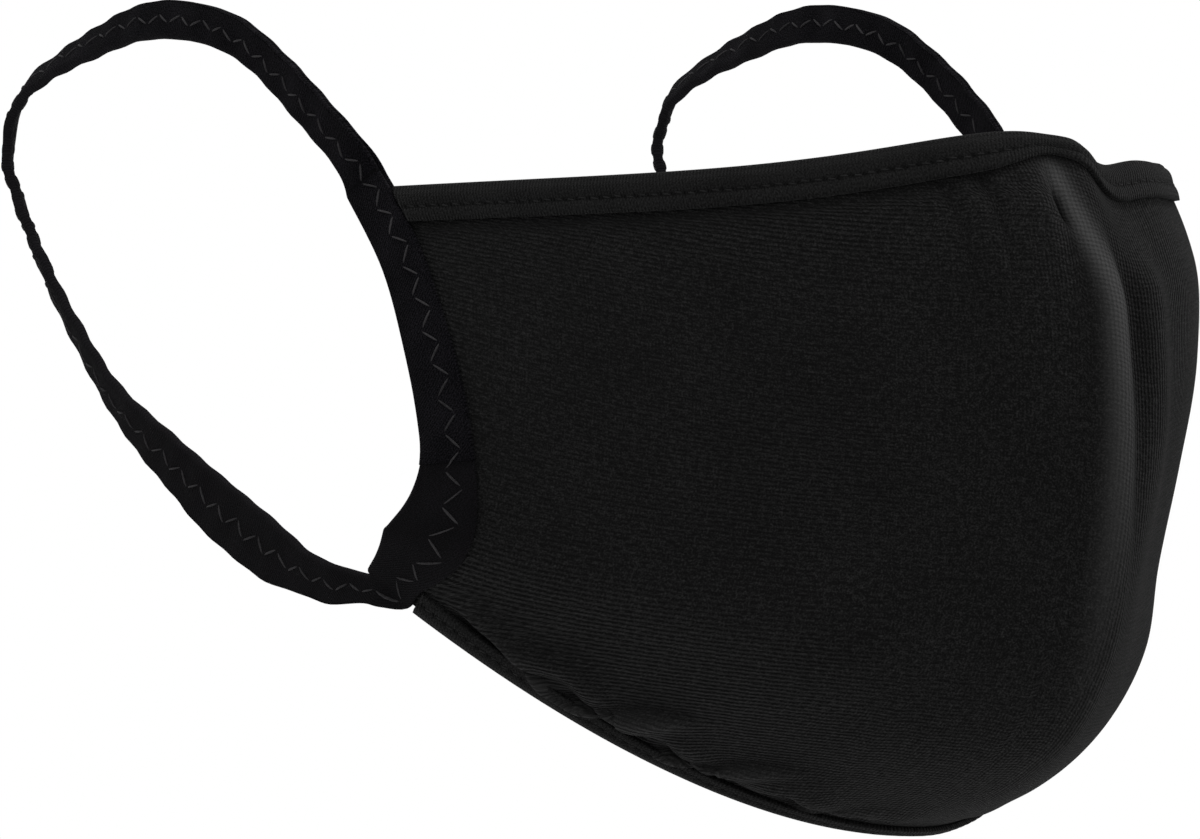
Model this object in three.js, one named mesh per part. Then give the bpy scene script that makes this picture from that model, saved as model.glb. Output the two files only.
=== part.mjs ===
import * as THREE from 'three';

// A cloth face mask with two ear loops of folded tape, as it sits on a face.
// Millimetres. +Z is up, the wearer looks along -Y, and +X is the wearer's left.
// The origin is where the nose edge rests on the bridge of the nose.

// Cloth panel
const halfWidth = 70;
const noseDepth = 97.5;
const maskHeight = 114.2;
const clothThickness = 1.2;
const foldHeight = 2;

// Bound edges, nose and chin
const noseHemHeight = 6;
const chinHemHeight = 4.5;
const hemPly = 1;

// Ear loop tape: folded double, and gripping the side edge of the cloth
const tapeWidth = 9.5;
const tapePly = 1;
const tapeCover = 8.7;
const noseCornerCover = 6.6;
const chinCornerCover = 3;
const webWidth = 7.6;
const seamDepth = 0.5;

// Ear loops, measured from the side edge and the nose edge. They hang a little wider than the cloth.
const loopReach = 109.5;
const loopRise = 20.1;
const loopFall = 74.7;
const loopSpread = halfWidth + 1.5;

// Clearance between pieces
const pieceGap = 0.3;

// Mesh steps
const columnCount = 54;
const rowCount = 24;
const loopSteps = 38;

// Level sections, nose edge first, at the side edge and at the middle. fore is a share of
// noseDepth, drop of maskHeight, width of halfWidth. A low round or rise is pointed.
const sections = [
  { edgeFore: -0.188, edgeDrop: 0.081, midFore: 0.862, midDrop: 0, width: 0.986, round: 2.32, rise: 1.4 },
  { edgeFore: -0.087, edgeDrop: 0.184, midFore: 0.959, midDrop: 0.148, width: 0.993, round: 2.22, rise: 2 },
  { edgeFore: -0.02, edgeDrop: 0.306, midFore: 0.995, midDrop: 0.315, width: 1, round: 1.96, rise: 2 },
  { edgeFore: 0.02, edgeDrop: 0.42, midFore: 1, midDrop: 0.472, width: 1, round: 1.63, rise: 2 },
  { edgeFore: 0.028, edgeDrop: 0.507, midFore: 0.972, midDrop: 0.622, width: 0.993, round: 1.48, rise: 1.95 },
  { edgeFore: 0.014, edgeDrop: 0.569, midFore: 0.913, midDrop: 0.753, width: 0.979, round: 1.59, rise: 1.93 },
  { edgeFore: -0.014, edgeDrop: 0.61, midFore: 0.821, midDrop: 0.857, width: 0.964, round: 1.55, rise: 1.95 },
  { edgeFore: -0.046, edgeDrop: 0.639, midFore: 0.656, midDrop: 0.938, width: 0.95, round: 1.58, rise: 2 },
  { edgeFore: -0.079, edgeDrop: 0.662, midFore: 0.44, midDrop: 0.99, width: 0.936, round: 1.65, rise: 2.1 },
];

// Folds that run down the cloth. across, lean and spread are shares of the panel's half,
// from and to are shares down it, out and up are shares of foldHeight.
const creases = [
  { name: 'centre ridge', across: -0.04, lean: 0.04, from: 0, to: 0.85, spread: 0.05, out: 0.8, up: 0 },
  { name: 'hollow beside it', across: 0.14, lean: 0.04, from: 0, to: 0.85, spread: 0.09, out: -0.6, up: 0 },
  { name: 'nose dart', across: -0.14, lean: 0.02, from: 0.03, to: 0.2, spread: 0.04, out: -0.4, up: 0 },
  { name: 'near rise', across: -0.24, lean: 0, from: 0, to: 0.2, spread: 0.2, out: 0, up: 0.5 },
  { name: 'nose dip', across: 0.05, lean: 0, from: 0, to: 0.2, spread: 0.12, out: 0, up: -1.8 },
  { name: 'far fall', across: 0.3, lean: 0, from: 0, to: 0.2, spread: 0.25, out: 0, up: -1.7 },
  { name: 'near sag', across: -0.65, lean: 0, from: 0, to: 0.2, spread: 0.25, out: 0, up: -0.5 },
];

// Gathers over the chin edge, the same on both cheeks. across and wide are shares of the
// panel's half, above, upper and lower are shares of chinHemHeight, out of foldHeight.
const gathers = [
  { across: 0.82, above: 1.9, wide: 0.055, upper: 0.9, lower: 0.4, out: 0.8 },
  { across: 0.655, above: 2, wide: 0.07, upper: 1, lower: 0.4, out: 1.1 },
  { across: 0.43, above: 2.1, wide: 0.1, upper: 1.1, lower: 0.45, out: 1.1 },
  { across: 0.18, above: 1.9, wide: 0.07, upper: 1, lower: 0.4, out: 0.6 },
  { across: 0.742, above: 1.7, wide: 0.03, upper: 0.6, lower: 0.3, out: -0.4 },
  { across: 0.57, above: 1.7, wide: 0.035, upper: 0.6, lower: 0.3, out: -0.4 },
  { across: 0.297, above: 1.7, wide: 0.04, upper: 0.6, lower: 0.3, out: -0.3 },
];

// The free run of an ear loop, from the chin corner round the ear to the nose corner.
// back is a share of loopReach, up a share of loopRise above the nose edge and of loopFall
// below it, apart of loopSpread and wide of tapeWidth. turn is the tape's twist in degrees.
const loopRoute = [
  { back: 0.15, up: -0.99, apart: 0.96, turn: 5, wide: 0.52 },
  { back: 0.243, up: -0.96, apart: 0.985, turn: 13, wide: 0.92 },
  { back: 0.352, up: -0.907, apart: 1, turn: 0, wide: 1.04 },
  { back: 0.467, up: -0.824, apart: 1, turn: -2, wide: 1.02 },
  { back: 0.588, up: -0.715, apart: 1, turn: 10, wide: 0.95 },
  { back: 0.719, up: -0.588, apart: 1, turn: 29, wide: 0.9 },
  { back: 0.822, up: -0.433, apart: 1, turn: 36, wide: 0.88 },
  { back: 0.892, up: -0.309, apart: 1, turn: 39, wide: 0.86 },
  { back: 0.958, up: -0.165, apart: 1, turn: 43, wide: 0.85 },
  { back: 0.997, up: -0.036, apart: 1, turn: 40, wide: 0.85 },
  { back: 0.963, up: 0.336, apart: 1, turn: 46, wide: 0.85 },
  { back: 0.877, up: 0.604, apart: 1, turn: 49, wide: 0.82 },
  { back: 0.764, up: 0.819, apart: 1, turn: 38, wide: 0.78 },
  { back: 0.637, up: 0.982, apart: 1, turn: 20, wide: 0.7 },
  { back: 0.494, up: 0.944, apart: 1, turn: 5, wide: 0.68 },
  { back: 0.379, up: 0.734, apart: 1, turn: -4, wide: 0.72 },
  { back: 0.255, up: 0.296, apart: 1, turn: -6, wide: 0.8 },
  { back: 0.168, up: -0.026, apart: 0.985, turn: -5, wide: 0.84 },
];

const { clamp, lerp, smoothstep } = THREE.MathUtils;
const slotHalf = clothThickness / 2 + pieceGap;
const hemHalf = slotHalf + hemPly;
const gripHalf = slotHalf + tapePly;

function sectionAt(down) {
  const last = sections.length - 1;
  const place = clamp(down, 0, 1) * last;
  const row = Math.min(Math.floor(place), last - 1);
  const t = place - row;
  const near = [row - 1, row, row + 1, row + 2].map((index) => sections[clamp(index, 0, last)]);
  const blend = {};
  for (const column of Object.keys(sections[0])) {
    const [a, b, c, d] = near.map((section) => section[column]);
    const curve = (2 * a - 5 * b + 4 * c - d) * t ** 2 + (3 * b - a - 3 * c + d) * t ** 3;
    blend[column] = (2 * b + (c - a) * t + curve) / 2;
  }
  return blend;
}

function plainPoint(across, down) {
  const row = sectionAt(down);
  const side = Math.abs(across);
  const fore = lerp(row.midFore, row.edgeFore, side ** row.round);
  const drop = lerp(row.midDrop, row.edgeDrop, side ** row.rise);
  return new THREE.Vector3(halfWidth * row.width * across, -noseDepth * fore, -maskHeight * drop);
}

// Unit directions down and out of a surface at one place
function directionsOn(surface, across, down) {
  const step = 0.004;
  const left = surface(clamp(across - step, -1, 1), down);
  const right = surface(clamp(across + step, -1, 1), down);
  const above = surface(across, clamp(down - step, 0, 1));
  const below = surface(across, clamp(down + step, 0, 1));
  const downward = below.sub(above).normalize();
  const out = new THREE.Vector3().crossVectors(downward, right.sub(left)).normalize();
  return { downward, out };
}

function creaseStrength(crease, across, down) {
  const along = (down - crease.from) / (crease.to - crease.from);
  if (along < 0 || along > 1) return 0;
  const start = crease.from > 0 ? smoothstep(along, 0, 0.3) : 1;
  const sideways = (across - crease.across - crease.lean * along) / crease.spread;
  return start * (1 - smoothstep(along, 0.5, 1)) * Math.exp(-(sideways ** 2));
}

function gatherStrength(gather, across, chinDistance) {
  const sideways = (Math.abs(across) - gather.across) / gather.wide;
  const climb = chinDistance / chinHemHeight - gather.above;
  const upright = climb / (climb > 0 ? gather.upper : gather.lower);
  return Math.exp(-(sideways ** 2) - upright ** 2);
}

function clothPoint(across, down) {
  const { out } = directionsOn(plainPoint, across, down);
  const point = plainPoint(across, down);
  for (const crease of creases) {
    const strength = foldHeight * creaseStrength(crease, across, down);
    point.addScaledVector(out, strength * crease.out);
    point.z += strength * crease.up;
  }
  const chinDistance = plainPoint(across, down).distanceTo(plainPoint(across, 1));
  for (const gather of gathers) {
    point.addScaledVector(out, foldHeight * gather.out * gatherStrength(gather, across, chinDistance));
  }
  return point;
}

function meshOf(name, points, faces, material) {
  const geometry = new THREE.BufferGeometry();
  const places = points.flatMap((point) => point.toArray());
  geometry.setAttribute('position', new THREE.Float32BufferAttribute(places, 3));
  geometry.setIndex(faces.flat());
  geometry.computeVertexNormals();
  const mesh = new THREE.Mesh(geometry, material);
  mesh.name = name;
  return mesh;
}

function quad(a, b, c, d) {
  return [[a, b, c], [a, c, d]];
}

// Columns crowd a little toward the side edges, rows toward the chin edge
const columnArc = THREE.MathUtils.degToRad(75);
const columns = Array.from({ length: columnCount + 1 }, (_, index) => {
  return Math.sin((2 * index / columnCount - 1) * columnArc) / Math.sin(columnArc);
});

// Share of the panel's height that a strip takes beside the nose or chin edge
function stripShare(across, edgeDown, height) {
  const span = 0.05;
  const inside = plainPoint(across, Math.abs(edgeDown - span));
  return height * span / plainPoint(across, edgeDown).distanceTo(inside);
}

// Rows keep to the top line of the chin hem, with one more row halfway down the hem
function rowDown(row, across) {
  const hem = stripShare(across, 1, chinHemHeight + pieceGap);
  const bodyRows = rowCount - 2;
  if (row > bodyRows) return 1 - hem * (rowCount - row) / 2;
  return (1 - hem) * (1 - (1 - row / bodyRows) ** 1.15);
}

function makePanel(material) {
  const points = [];
  for (const face of [1, -1]) {
    for (let row = 0; row <= rowCount; row += 1) {
      for (const across of columns) {
        const down = rowDown(row, across);
        const { out } = directionsOn(clothPoint, across, down);
        points.push(clothPoint(across, down).addScaledVector(out, face * clothThickness / 2));
      }
    }
  }
  const width = columns.length;
  const layer = width * (rowCount + 1);
  const outer = (row, column) => row * width + column;
  const inner = (row, column) => layer + outer(row, column);
  const last = columnCount;
  const end = rowCount;
  const faces = [];
  for (let row = 0; row < rowCount; row += 1) {
    const next = row + 1;
    for (let column = 0; column < last; column += 1) {
      const beside = column + 1;
      faces.push(...quad(outer(row, column), outer(next, column), outer(next, beside), outer(row, beside)));
      faces.push(...quad(inner(row, column), inner(row, beside), inner(next, beside), inner(next, column)));
    }
    faces.push(...quad(outer(row, 0), inner(row, 0), inner(next, 0), outer(next, 0)));
    faces.push(...quad(outer(row, last), outer(next, last), inner(next, last), inner(row, last)));
  }
  for (let column = 0; column < last; column += 1) {
    const beside = column + 1;
    faces.push(...quad(outer(0, column), outer(0, beside), inner(0, beside), inner(0, column)));
    faces.push(...quad(outer(end, column), inner(end, column), inner(end, beside), outer(end, beside)));
  }
  return meshOf('mask_panel', points, faces, material);
}

// A strip or ring of like sections; ends are capped unless it closes on itself
function sweep(name, sectionsOfPoints, flatSection, closed, material) {
  const count = sectionsOfPoints.length;
  const size = flatSection.length;
  const faces = [];
  const spans = closed ? count : count - 1;
  for (let step = 0; step < spans; step += 1) {
    const next = (step + 1) % count;
    for (let corner = 0; corner < size; corner += 1) {
      const after = (corner + 1) % size;
      const [here, there] = [step * size, next * size];
      faces.push(...quad(here + corner, here + after, there + after, there + corner));
    }
  }
  if (!closed) {
    for (const [a, b, c] of THREE.ShapeUtils.triangulateShape(flatSection, [])) {
      const end = (count - 1) * size;
      faces.push([c, b, a], [end + a, end + b, end + c]);
    }
  }
  return meshOf(name, sectionsOfPoints.flat(), faces, material);
}

// How far the tape covers the cloth down the side edge, least at both corners
function coverAt(down) {
  const narrow = down < 0.5 ? noseCornerCover : chinCornerCover;
  return lerp(tapeCover, narrow, smoothstep(Math.abs(down - 0.45), 0.2, 0.45));
}

// How far the tape's web stands behind the side edge, widest above the chin corner
function webAt(down) {
  return webWidth * (smoothstep(down, 0.38, 0.68) - 0.5 * smoothstep(down, 0.8, 1));
}

function sideFrame(side, down) {
  const edge = clothPoint(side, down);
  const step = 0.01;
  const below = clothPoint(side, clamp(down + step, 0, 1));
  const above = clothPoint(side, clamp(down - step, 0, 1));
  const travel = below.sub(above).normalize();
  const { out } = directionsOn(clothPoint, side * 0.98, down);
  const inward = new THREE.Vector3().crossVectors(travel, out).multiplyScalar(side).normalize();
  return { edge, inward, out };
}

// Last place across the panel that the tape leaves free at one level
function freeAcross(side, down) {
  const { edge, inward } = sideFrame(side, down);
  const reach = coverAt(down) + pieceGap;
  let across = 1;
  while (clothPoint(side * across, down).sub(edge).dot(inward) < reach) across -= 0.001;
  return across;
}

// A bound edge: a folded strip that holds the cloth between its two plies
function makeBinding(name, edgeDown, hemHeight, material) {
  const inwardSign = edgeDown === 0 ? 1 : -1;
  const fold = pieceGap + hemPly;
  const profile = [
    [-fold, -hemHalf / 2], [-fold / 2, -hemHalf], [hemHeight / 2, -hemHalf], [hemHeight, -hemHalf],
    [hemHeight, -slotHalf], [hemHeight / 2, -slotHalf], [-pieceGap, -slotHalf],
    [-pieceGap, slotHalf], [hemHeight / 2, slotHalf], [hemHeight, slotHalf],
    [hemHeight, hemHalf], [hemHeight / 2, hemHalf], [-fold / 2, hemHalf], [-fold, hemHalf / 2],
  ].map(([depth, out]) => new THREE.Vector2(depth, out));
  const levels = [0, 0.4, 0.8, 1.2].map((share) => {
    return edgeDown + inwardSign * stripShare(0.95, edgeDown, share * hemHeight);
  });
  const end = Math.min(...levels.flatMap((down) => [freeAcross(-1, down), freeAcross(1, down)]));
  const places = [-end, ...columns.filter((across) => Math.abs(across) < end - 0.01), end];
  const strip = places.map((across) => {
    const edge = directionsOn(clothPoint, across, edgeDown);
    return profile.map(({ x: depth, y: out }) => {
      const down = edgeDown + inwardSign * stripShare(across, edgeDown, Math.max(depth, 0));
      const here = directionsOn(clothPoint, across, down);
      const point = clothPoint(across, down).addScaledVector(here.out, out);
      return point.addScaledVector(edge.downward, inwardSign * Math.min(depth, 0));
    });
  });
  if (inwardSign > 0) strip.reverse();
  return sweep(name, strip, profile, false, material);
}

// Tape section: a folded edge on the ear side, and a slot between the plies on the other
function tapeSection({ wide, foldHalf, openHalf, slotWidth, slotDepth }) {
  const body = wide - slotDepth;
  const round = Math.min(0.5, body * 0.3);
  return [
    [0, -foldHalf / 2], [round, -foldHalf], [body * 0.6, -foldHalf], [body * 0.85, -openHalf],
    [wide, -openHalf], [wide, -slotWidth / 2], [body, -slotWidth / 2], [body, slotWidth / 2],
    [wide, slotWidth / 2], [wide, openHalf], [body * 0.85, openHalf], [body * 0.6, foldHalf],
    [round, foldHalf], [0, foldHalf / 2],
  ].map(([across, out]) => new THREE.Vector2(across, out));
}

function gripStation(side, down) {
  const { edge, inward, out } = sideFrame(side, down);
  const behind = pieceGap + tapePly + webAt(down);
  return {
    start: edge.clone().addScaledVector(inward, -behind),
    inward,
    out,
    wide: behind + coverAt(down),
    foldHalf: tapePly,
    openHalf: gripHalf,
    slotWidth: 2 * slotHalf,
    slotDepth: coverAt(down) + pieceGap,
  };
}

function loopStation(side, row, before, after) {
  const height = (place) => place.up * (place.up > 0 ? loopRise : loopFall);
  const centre = new THREE.Vector3(side * loopSpread * row.apart, loopReach * row.back, height(row));
  const backward = loopReach * (after.back - before.back);
  const travel = new THREE.Vector3(0, backward, height(after) - height(before)).normalize();
  const flatInward = new THREE.Vector3(-1, 0, 0).cross(travel);
  const inward = flatInward.applyAxisAngle(travel, -THREE.MathUtils.degToRad(row.turn));
  const out = new THREE.Vector3().crossVectors(travel, inward).multiplyScalar(-side);
  const wide = tapeWidth * row.wide;
  return {
    start: centre.addScaledVector(inward, -wide / 2),
    inward,
    out,
    wide,
    foldHalf: tapePly,
    openHalf: tapePly,
    slotWidth: pieceGap,
    slotDepth: seamDepth,
  };
}

function blendStations(a, b, c, d, t) {
  const mix = (axis, ...vectors) => {
    const [w, x, y, z] = vectors.map((vector) => vector.getComponent(axis));
    const bend = (2 * w - 5 * x + 4 * y - z) * t ** 2 + (3 * x - w - 3 * y + z) * t ** 3;
    return (2 * x + (y - w) * t + bend) / 2;
  };
  const blend = {};
  for (const key of Object.keys(a)) {
    const [w, x, y, z] = [a, b, c, d].map((station) => station[key]);
    if (typeof x === 'number') blend[key] = lerp(x, y, t);
    else blend[key] = new THREE.Vector3(...[0, 1, 2].map((axis) => mix(axis, w, x, y, z)));
  }
  blend.inward.normalize();
  blend.out.addScaledVector(blend.inward, -blend.out.dot(blend.inward)).normalize();
  return blend;
}

function makeEarLoop(name, side, material) {
  const grip = Array.from({ length: rowCount + 1 }, (_, row) => gripStation(side, rowDown(row, side)));
  const free = loopRoute.map((row, index) => {
    const before = loopRoute[Math.max(index - 1, 0)];
    const after = loopRoute[Math.min(index + 1, loopRoute.length - 1)];
    return loopStation(side, row, before, after);
  });
  const keys = [...grip.slice(-2), ...free, ...grip.slice(0, 2)];
  const spans = keys.length - 3;
  const between = Array.from({ length: loopSteps - 1 }, (_, index) => {
    const place = 1 + spans * (index + 1) / loopSteps;
    const key = Math.min(Math.floor(place), keys.length - 3);
    return blendStations(keys[key - 1], keys[key], keys[key + 1], keys[key + 2], place - key);
  });
  const stations = [...grip, ...between];
  const ring = stations.map((station) => tapeSection(station).map(({ x, y }) => {
    return station.start.clone().addScaledVector(station.inward, x).addScaledVector(station.out, y);
  }));
  if (side > 0) ring.reverse();
  return sweep(name, ring, tapeSection(stations[0]), true, material);
}

const clothMaterial = new THREE.MeshStandardMaterial({ color: '#232323', roughness: 0.95, metalness: 0 });
const hemMaterial = new THREE.MeshStandardMaterial({ color: '#2b2b2b', roughness: 0.95, metalness: 0 });
const tapeMaterial = new THREE.MeshStandardMaterial({ color: '#1b1a1f', roughness: 0.9, metalness: 0 });

const faceMask = new THREE.Group();
faceMask.add(makePanel(clothMaterial));
faceMask.add(makeBinding('nose_binding', 0, noseHemHeight, hemMaterial.clone()));
faceMask.add(makeBinding('chin_binding', 1, chinHemHeight, hemMaterial.clone()));
faceMask.add(makeEarLoop('ear_loop_right', -1, tapeMaterial.clone()));
faceMask.add(makeEarLoop('ear_loop_left', 1, tapeMaterial.clone()));

// Move the seat, the inside face of the nose edge, to the origin, and keep the middle on x = 0
const bridge = directionsOn(clothPoint, 0, 0);
const seat = clothPoint(0, 0).addScaledVector(bridge.out, -hemHalf).setX(0);
faceMask.position.copy(seat).negate();

export default faceMask;
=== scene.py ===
import math
import bpy
import numpy as np
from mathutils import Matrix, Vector


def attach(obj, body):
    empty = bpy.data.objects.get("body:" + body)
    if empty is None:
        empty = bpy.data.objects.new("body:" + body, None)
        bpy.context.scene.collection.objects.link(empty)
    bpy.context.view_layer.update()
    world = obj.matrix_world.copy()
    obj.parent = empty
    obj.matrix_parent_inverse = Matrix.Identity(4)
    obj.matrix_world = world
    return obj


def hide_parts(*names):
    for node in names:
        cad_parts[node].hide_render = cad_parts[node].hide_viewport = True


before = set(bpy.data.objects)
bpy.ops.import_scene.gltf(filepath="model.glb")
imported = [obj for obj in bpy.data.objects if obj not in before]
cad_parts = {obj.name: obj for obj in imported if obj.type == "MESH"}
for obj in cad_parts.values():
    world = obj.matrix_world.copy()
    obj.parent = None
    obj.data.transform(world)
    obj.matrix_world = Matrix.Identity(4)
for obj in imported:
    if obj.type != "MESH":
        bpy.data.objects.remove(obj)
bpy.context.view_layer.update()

# Lengths are worked out in millimetres, then placed in metres with the nose seat at the origin.
# across runs from -1 (wearer's right edge) to 1, down from 0 (nose edge) to 1 (chin edge).
mask = {
    "halfWidth": 70.0,
    "noseDepth": 97.5,
    "height": 114.2,
    "cloth": 1.2,
    "columns": 290,
    "rows": 165,
    "columnArc": math.radians(75),
    "columnCrowd": 0.4,
    "rowCrowd": 0.045,
    "grainTilt": 0.22,
    "grainRound": 15.0,
    "seatOffset": 1.9,
}
# Steps, in shares, over which the directions of the cloth are measured
nearStep, wideStep = 0.004, 0.01

# Level sections of the cup, nose edge first, as shares of the sizes above
levels = [
    dict(edgeFore=-0.188, edgeDrop=0.081, midFore=0.862, midDrop=0, width=0.986, round=2.32, rise=1.4),
    dict(edgeFore=-0.087, edgeDrop=0.184, midFore=0.959, midDrop=0.148, width=0.993, round=2.22, rise=2),
    dict(edgeFore=-0.02, edgeDrop=0.306, midFore=0.995, midDrop=0.315, width=1, round=1.96, rise=2),
    dict(edgeFore=0.02, edgeDrop=0.42, midFore=1, midDrop=0.472, width=1, round=1.63, rise=2),
    dict(edgeFore=0.028, edgeDrop=0.507, midFore=0.972, midDrop=0.622, width=0.993, round=1.48, rise=1.95),
    dict(edgeFore=0.014, edgeDrop=0.569, midFore=0.913, midDrop=0.753, width=0.979, round=1.59, rise=1.93),
    dict(edgeFore=-0.014, edgeDrop=0.61, midFore=0.821, midDrop=0.857, width=0.964, round=1.55, rise=1.95),
    dict(edgeFore=-0.046, edgeDrop=0.639, midFore=0.656, midDrop=0.938, width=0.95, round=1.58, rise=2),
    dict(edgeFore=-0.079, edgeDrop=0.662, midFore=0.44, midDrop=0.99, width=0.936, round=1.65, rise=2.1),
]

# Shares of a fold's length at which it has faded in and starts to fade out
fades = {
    "crease": (0.3, 0.5),
    "fineFold": (0.25, 0.55),
    "chinRidge": (0.4, 0.85),
    "dartPit": (0.3, 0.75),
    "highlight": (0.05, 0.25),
    "shade": (0.1, 0.3),
}
# Shares of the way down over which the hook at the nose edge dies out
hookFades = (0.02, 0.2)

# Folds that run down the cloth: across and down in shares, out and up in mm
creases = [
    dict(across=-0.04, lean=0.04, start=0, end=0.85, spread=0.05, out=1.6, up=0),  # centre ridge
    dict(across=0.14, lean=0.04, start=0, end=0.85, spread=0.09, out=-1.2, up=0),  # hollow beside it
    dict(across=-0.14, lean=0.02, start=0.03, end=0.2, spread=0.04, out=-0.8, up=0),  # nose dart
    dict(across=-0.24, lean=0, start=0, end=0.2, spread=0.2, out=0, up=1),  # near rise
    dict(across=0.05, lean=0, start=0, end=0.2, spread=0.12, out=0, up=-3.6),  # nose dip
    dict(across=0.3, lean=0, start=0, end=0.2, spread=0.25, out=0, up=-3.4),  # far fall
    dict(across=-0.65, lean=0, start=0, end=0.2, spread=0.25, out=0, up=-1),  # near sag
]

# Gathers over the chin hem, in mm above the chin edge, shallower on the left cheek
gathers = [
    dict(across=0.775, above=8.55, wide=0.055, upper=4.05, lower=1.8, out=1.6),
    dict(across=0.61, above=9, wide=0.07, upper=4.5, lower=1.8, out=2.2),
    dict(across=0.37, above=9.45, wide=0.09, upper=4.95, lower=2.02, out=2.2),
    dict(across=0.15, above=8.55, wide=0.07, upper=4.5, lower=1.8, out=1.2),
    dict(across=0.695, above=7.65, wide=0.03, upper=2.7, lower=1.35, out=-0.8),
    dict(across=0.5, above=7.65, wide=0.035, upper=2.7, lower=1.35, out=-0.8),
    dict(across=0.25, above=7.65, wide=0.04, upper=2.7, lower=1.35, out=-0.6),
]

# Sharper folds of the panel alone, in the same shares; hook bends a fold aside at the nose edge
dartPit = dict(across=-0.127, lean=0.006, start=0.066, end=0.112, spread=0.012, out=-1.3, hook=0)
fineFolds = [
    dict(across=-0.072, lean=0.012, start=0.02, end=0.85, spread=0.03, out=0.9, hook=0.07),  # crest
    dict(across=0.002, lean=0.01, start=0.02, end=0.65, spread=0.032, out=-1.6, hook=0.05),  # groove
    dict(across=0.1, lean=0.01, start=0.05, end=0.5, spread=0.05, out=1.1, hook=0.02),  # far swell
    dict(across=-0.137, lean=0.012, start=0.036, end=0.12, spread=0.012, out=-0.6, hook=0),  # nose dart
    dartPit,  # pit at the end of the dart
    dict(across=-0.18, lean=0.01, start=0.03, end=0.16, spread=0.03, out=0.45, hook=0),  # near swell
    dict(across=-0.36, lean=0.03, start=0.03, end=0.25, spread=0.02, out=-1.0, hook=0),  # soft fold
    dict(across=-0.29, lean=0.035, start=0.03, end=0.19, spread=0.018, out=-0.9, hook=0),  # short soft fold
]
# Painted highlight along the ridge and painted shade in the groove, which are colour alone
highlightOnRidge = dict(across=-0.05, lean=0.012, start=0.02, end=0.75, spread=0.03, hook=0.07)
shadeInGroove = dict(across=0.035, lean=0.01, start=0.03, end=0.5, spread=0.05, hook=0.04)
# Strength of the painted highlight on the ridge, stronger near the top, and on the chin ridges; and of the
# painted shade in the groove and in the crease under each chin puff
paintedLight = {"topHighlight": 0.4, "topFades": (0.12, 0.32), "chinHighlight": 0.3, "grooveShade": 0.45, "puffShade": 0.95,
        "shadeAbove": 4.8, "shadeTall": 1.1}

# Ridges that climb from the pinched places of the chin hem, shallower on the left cheek
chinRidges = [
    dict(across=0.88, lean=-0.11, start=0.86, end=0.985, spread=0.026, out=1.6, hook=0),
    dict(across=0.58, lean=0.18, start=0.845, end=0.985, spread=0.026, out=1.8, hook=0),
    dict(across=0.39, lean=0.21, start=0.88, end=0.985, spread=0.026, out=1.8, hook=0),
    dict(across=0.18, lean=0.17, start=0.92, end=0.995, spread=0.026, out=0.8, hook=0),
]

# Between two pinched places the cloth puffs out over the chin hem, with a crease under it
chinPuff = {
    "pinches": (0.775, 0.61, 0.37, 0.15),
    "pinchWide": 0.03,
    "leftCheek": 0.35,
    "cheekBlend": 0.1,
    "centreFades": (0.08, 0.24),
    "tapeFades": (0.9, 0.97),
    "out": 1.5,
    "outFull": 0.4,
    "above": 7.0,
    "upper": 2.8,
    "lower": 1.2,
    "tuck": 0.9,
    "tuckAbove": 4.6,
    "tuckTall": 0.9,
    "sag": 0.5,
    "sagFades": (0.22, 0.5),
    "sagAbove": 6.4,
    "sagTall": 1.5,
}


def smoothStep(value, low, high):
    share = np.clip((value - low) / (high - low), 0, 1)
    return share * share * (3 - 2 * share)


def bell(value, middle, wide):
    return np.exp(-(((value - middle) / wide) ** 2))


def softCurve(a, b, c, d, t):
    return 0.5 * (2 * b + (c - a) * t + (2 * a - 5 * b + 4 * c - d) * t**2 + (3 * b - a - 3 * c + d) * t**3)


def levelAt(down):
    last = len(levels) - 1
    spot = np.clip(down, 0, 1) * last
    row = np.minimum(np.floor(spot).astype(int), last - 1)
    found = {}
    for column in levels[0]:
        line = np.array([level[column] for level in levels])
        around = [line[np.clip(row + step, 0, last)] for step in (-1, 0, 1, 2)]
        found[column] = softCurve(*around, spot - row)
    return found


def plainCloth(across, down):
    level = levelAt(down)
    side = np.abs(across)
    fore = level["midFore"] + (level["edgeFore"] - level["midFore"]) * side ** level["round"]
    drop = level["midDrop"] + (level["edgeDrop"] - level["midDrop"]) * side ** level["rise"]
    x = mask["halfWidth"] * level["width"] * across
    return np.stack([x, -mask["noseDepth"] * fore, -mask["height"] * drop], -1)


def unit(vectors):
    return vectors / np.linalg.norm(vectors, axis=-1, keepdims=True)


def chinward(surface, across, down, step):
    return surface(across, np.clip(down + step, 0, 1)) - surface(across, np.clip(down - step, 0, 1))


def outward(surface, across, down):
    more, less = np.clip(across + nearStep, -1, 1), np.clip(across - nearStep, -1, 1)
    leftward = surface(more, down) - surface(less, down)
    return unit(np.cross(chinward(surface, across, down, nearStep), leftward))


def aboveChin(across, down):
    return np.linalg.norm(plainCloth(across, down) - plainCloth(across, np.ones_like(down)), axis=-1)


def foldedCloth(across, down):
    points = plainCloth(across, down)
    out = outward(plainCloth, across, down)
    fadeIn, fadeOut = fades["crease"]
    for crease in creases:
        along = (down - crease["start"]) / (crease["end"] - crease["start"])
        start = smoothStep(along, 0, fadeIn) if crease["start"] > 0 else 1
        shape = start * (1 - smoothStep(along, fadeOut, 1)) * (along >= 0) * (along <= 1)
        shape = shape * bell(across, crease["across"] + crease["lean"] * along, crease["spread"])
        points = points + out * (shape * crease["out"])[..., None]
        points[..., 2] += shape * crease["up"]
    climb = aboveChin(across, down)
    for gather in gathers:
        tall = np.where(climb > gather["above"], gather["upper"], gather["lower"])
        shape = bell(np.abs(across), gather["across"], gather["wide"]) * bell(climb, gather["above"], tall)
        points = points + out * (gather["out"] * shape * cheekShare(across))[..., None]
    return points


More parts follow.
